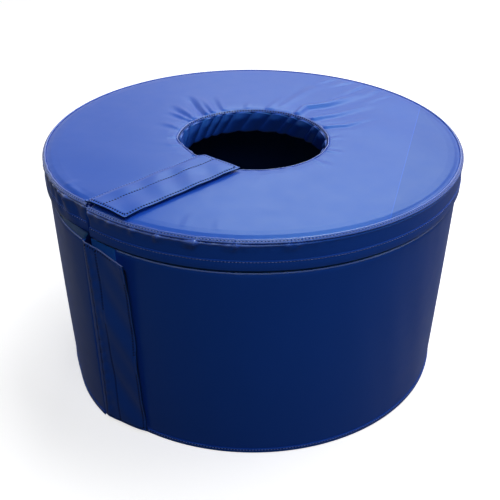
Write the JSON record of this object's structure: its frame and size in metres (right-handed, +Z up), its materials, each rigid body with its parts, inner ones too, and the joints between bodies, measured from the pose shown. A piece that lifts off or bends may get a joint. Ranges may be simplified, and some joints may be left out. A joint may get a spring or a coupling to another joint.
{
  "type": "pole pad",
  "caption": "Round foam pad that stands round a pole's foot: a hollow vinyl-covered ring with a holed foam lid, split at the front and closed by hook and loop flaps.",
  "frame": {"origin": "centre of the box round the whole pad, at the plane that the ring stands on, which lies on the pad's upright axis", "axes": "+Z up along the pole's axis; -Y towards the split that the flaps close; +X to the right half, which the flaps lie over"},
  "size_m": [0.6134, 0.6205, 0.3599],
  "materials": {
    "vinyl": "satin PVC-coated polyester cloth, royal blue",
    "lining": "satin PVC-coated polyester cloth, navy",
    "foam": "open-cell polyurethane foam, grey",
    "hook": "woven nylon hook tape, navy",
    "loop": "brushed nylon loop tape, blue"
  },
  "bodies": {
    "ring_left": {"wall_foam_left": "foam", "wall_outer_panel_left": "vinyl", "wall_inner_panel_left": "lining", "wall_top_border_left": "vinyl", "wall_bottom_border_left": "vinyl", "wall_end_panel_left": "vinyl", "wall_top_welt_left": "vinyl", "wall_foot_band_left": "vinyl"},
    "ring_right": {"wall_foam_right": "foam", "wall_outer_panel_right": "vinyl", "wall_inner_panel_right": "lining", "wall_top_border_right": "vinyl", "wall_bottom_border_right": "vinyl", "wall_end_panel_right": "vinyl", "wall_top_welt_right": "vinyl", "wall_foot_band_right": "vinyl", "side_loop_tape": "loop"},
    "lid_left": {"lid_foam_left": "foam", "lid_top_panel_left": "vinyl", "lid_boxing_left": "vinyl", "lid_hem_band_left": "vinyl", "lid_underside_panel_left": "lining", "lid_hole_lining_left": "lining", "lid_end_panel_left": "vinyl", "lid_rim_welt_left": "vinyl", "lid_hole_welt_left": "vinyl"},
    "lid_right": {"lid_foam_right": "foam", "lid_top_panel_right": "vinyl", "lid_boxing_right": "vinyl", "lid_hem_band_right": "vinyl", "lid_underside_panel_right": "lining", "lid_hole_lining_right": "lining", "lid_end_panel_right": "vinyl", "lid_rim_welt_right": "vinyl", "lid_hole_welt_right": "vinyl", "top_loop_tape": "loop"},
    "lid_flap": {"top_flap": "vinyl", "top_hook_tape": "hook"},
    "ring_flap": {"side_flap": "vinyl", "side_hook_tape": "hook"}
  },
  "joints": [
    {"name": "pad_open", "type": "hinge", "parent": "ring_left", "child": "ring_right", "pos_m": [0, 0.307, 0], "axis": [0, 0, 1], "range_deg": [0, 20]},
    {"name": "lid_lift", "type": "slide", "parent": "ring_left", "child": "lid_left", "axis": [0, 0, 1], "range_m": [0, 0.2]},
    {"name": "lid_open", "type": "hinge", "parent": "lid_left", "child": "lid_right", "pos_m": [0, 0.307, 0], "axis": [0, 0, 1], "range_deg": [0, 20]},
    {"name": "lid_flap_fold", "type": "hinge", "parent": "lid_left", "child": "lid_flap", "pos_m": [-0.0055, -0.297, 0.3563], "axis": [0, -1, 0], "range_deg": [0, 165]},
    {"name": "ring_flap_fold", "type": "hinge", "parent": "ring_left", "child": "ring_flap", "pos_m": [-0.0035, -0.31375, 0.3087], "axis": [0, 0.0129, -0.9999], "range_deg": [0, 160]}
  ],
  "couplings": [
    {"joint": "lid_open", "follows": "pad_open", "ratio": 1},
    {"joint": "ring_flap_fold", "follows": "pad_open", "ratio": 8}
  ]
}
